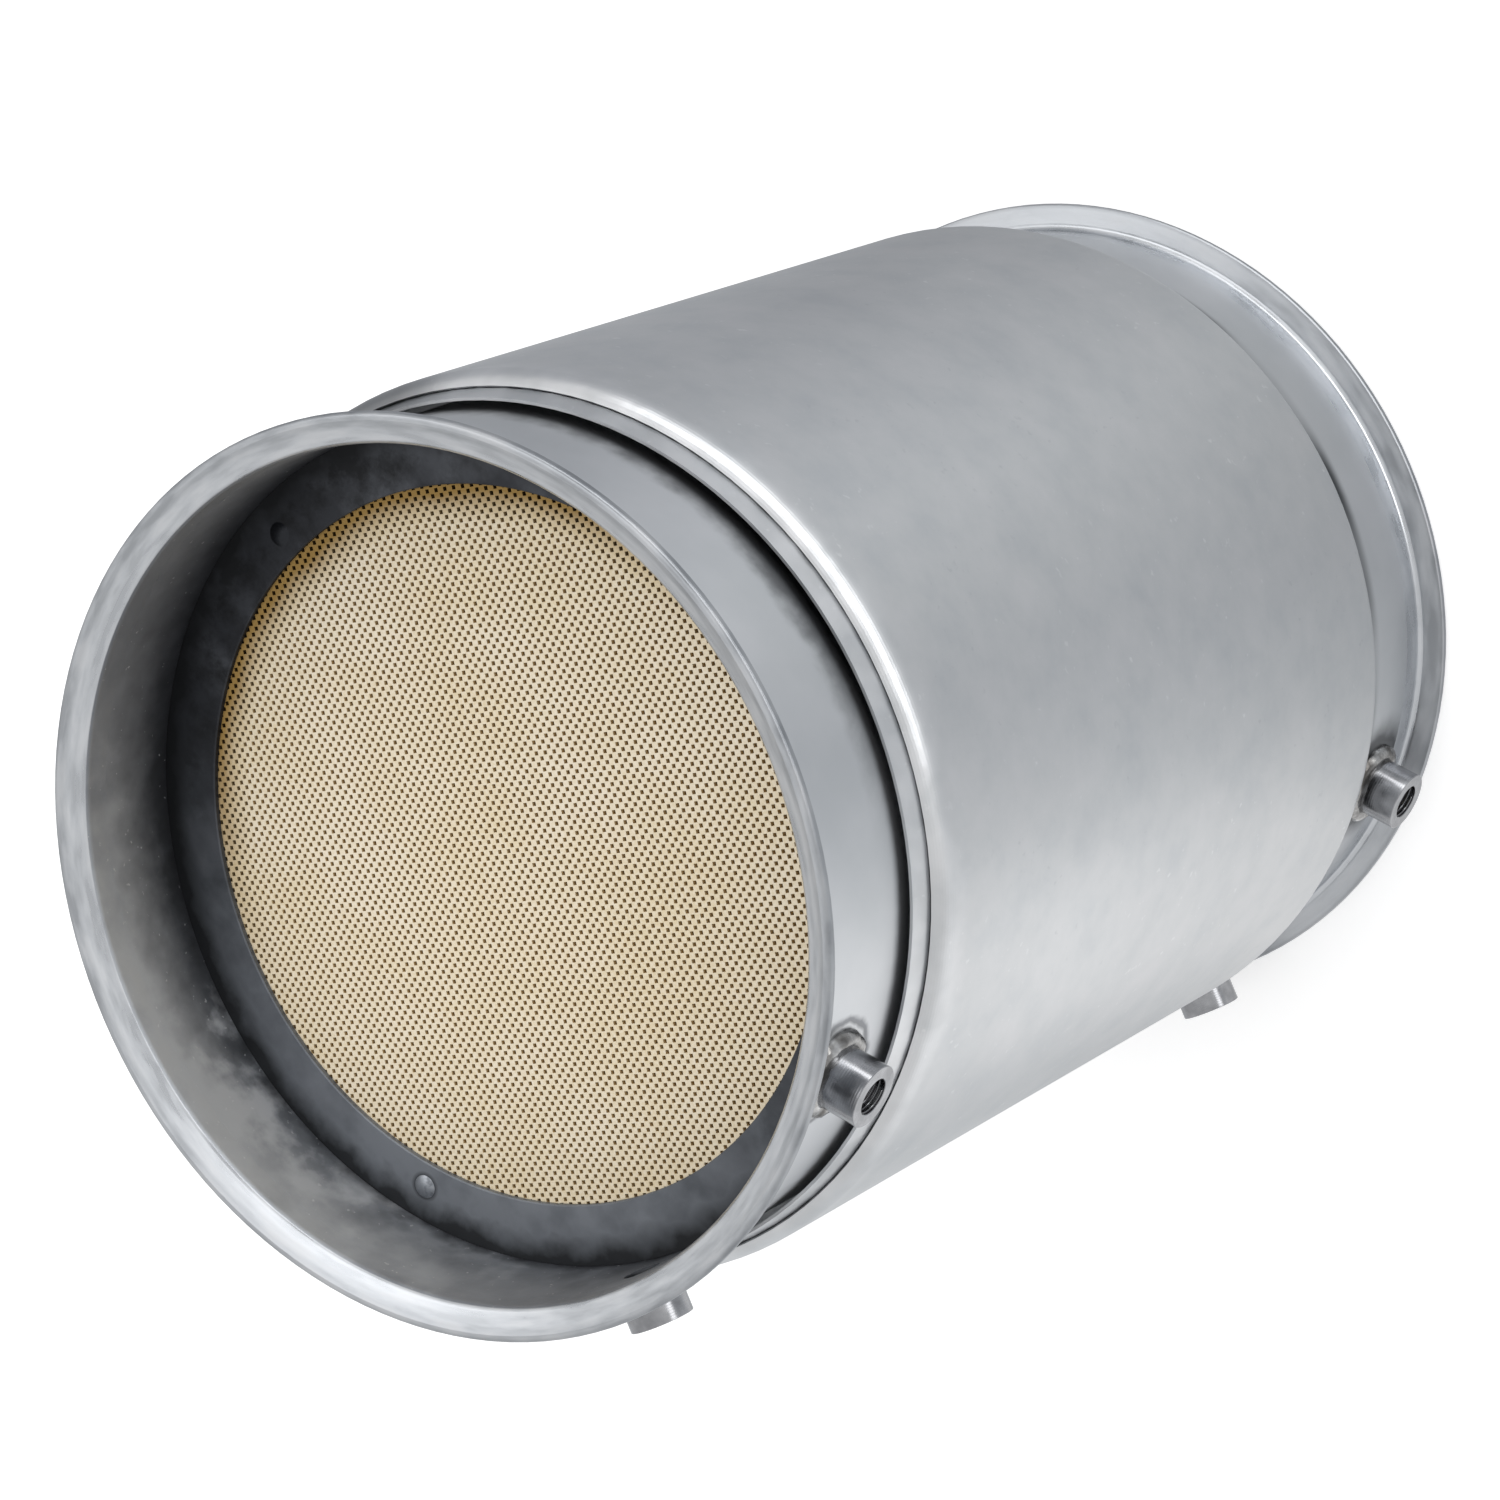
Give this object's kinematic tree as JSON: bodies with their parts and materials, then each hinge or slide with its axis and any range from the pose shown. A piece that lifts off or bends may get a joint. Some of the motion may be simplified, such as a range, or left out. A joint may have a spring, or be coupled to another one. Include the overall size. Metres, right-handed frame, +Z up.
{
  "type": "diesel particulate filter",
  "caption": "Cylindrical exhaust particulate filter with a honeycomb ceramic brick in a flanged steel can, threaded sensor bosses and a rolled heat shield.",
  "frame": {"origin": "centre of the plane that the outlet flange's crest stands on", "axes": "+Z up along the can from the outlet to the inlet, +X midway between the two rows of sensor bosses"},
  "size_m": [0.304, 0.304, 0.421],
  "materials": {
    "can_steel": "satin sheet steel",
    "shield_steel": "satin sheet steel",
    "boss_steel": "turned steel",
    "weld_metal": "bright weld bead with heat tint",
    "cordierite": "matt fired ceramic",
    "mat_fibre": "expanding fibre mat",
    "blanket_fibre": "needled glass fibre",
    "seal_wire": "knitted wire"
  },
  "bodies": {
    "root": {"inner_can": "can_steel", "inlet_flange": "can_steel", "outlet_flange": "can_steel", "filter_substrate": "cordierite", "support_mat": "mat_fibre", "inlet_retaining_ring": "can_steel", "outlet_retaining_ring": "can_steel", "inlet_mesh_seal": "seal_wire", "outlet_mesh_seal": "seal_wire", "ring_plug_welds": "weld_metal", "heat_shield": "shield_steel", "inlet_shield_ring": "shield_steel", "outlet_shield_ring": "shield_steel", "insulation_blanket": "blanket_fibre", "inlet_side_boss": "boss_steel", "inlet_lower_boss": "boss_steel", "outlet_side_boss": "boss_steel", "outlet_lower_boss": "boss_steel", "boss_weld_beads": "weld_metal"}
  },
  "joints": []
}
